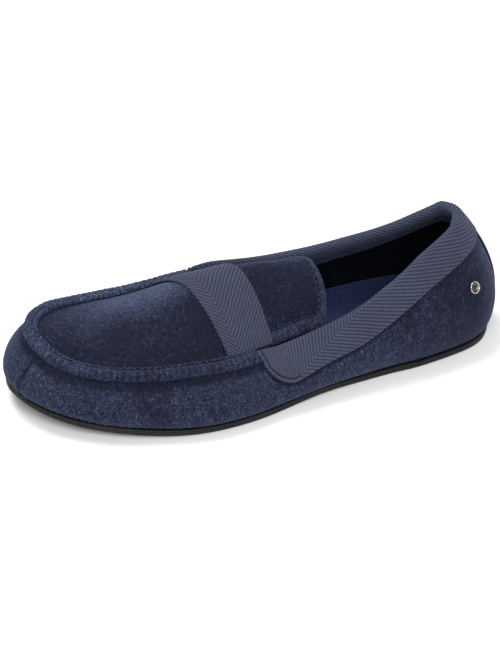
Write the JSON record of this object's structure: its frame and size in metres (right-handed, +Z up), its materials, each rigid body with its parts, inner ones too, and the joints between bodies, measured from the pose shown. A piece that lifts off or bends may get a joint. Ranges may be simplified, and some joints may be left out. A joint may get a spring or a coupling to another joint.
{
  "type": "moccasin slipper",
  "caption": "Left moccasin slipper of navy velour with a raised seam round the apron, a herringbone tape band over the instep, a taped collar and a thin flat sole.",
  "frame": {"origin": "on the floor under the middle of the slipper's bounding box", "axes": "+X from the heel to the toe, +Y to the outer side of the left foot, +Z up"},
  "size_m": [0.2882, 0.1136, 0.0722],
  "materials": {
    "velour": "short velour pile, heathered navy",
    "tape": "woven herringbone tape, slate blue",
    "rubber": "satin charcoal",
    "footbed": "velour, bright navy",
    "metal": "polished"
  },
  "bodies": {
    "root": {"outsole": "rubber", "insole": "footbed", "upper": "velour", "apron": "velour", "moccasin_seam": "velour", "instep_band": "tape", "collar_binding": "tape", "heel_strip": "rubber", "heel_rivet": "metal"}
  },
  "joints": []
}
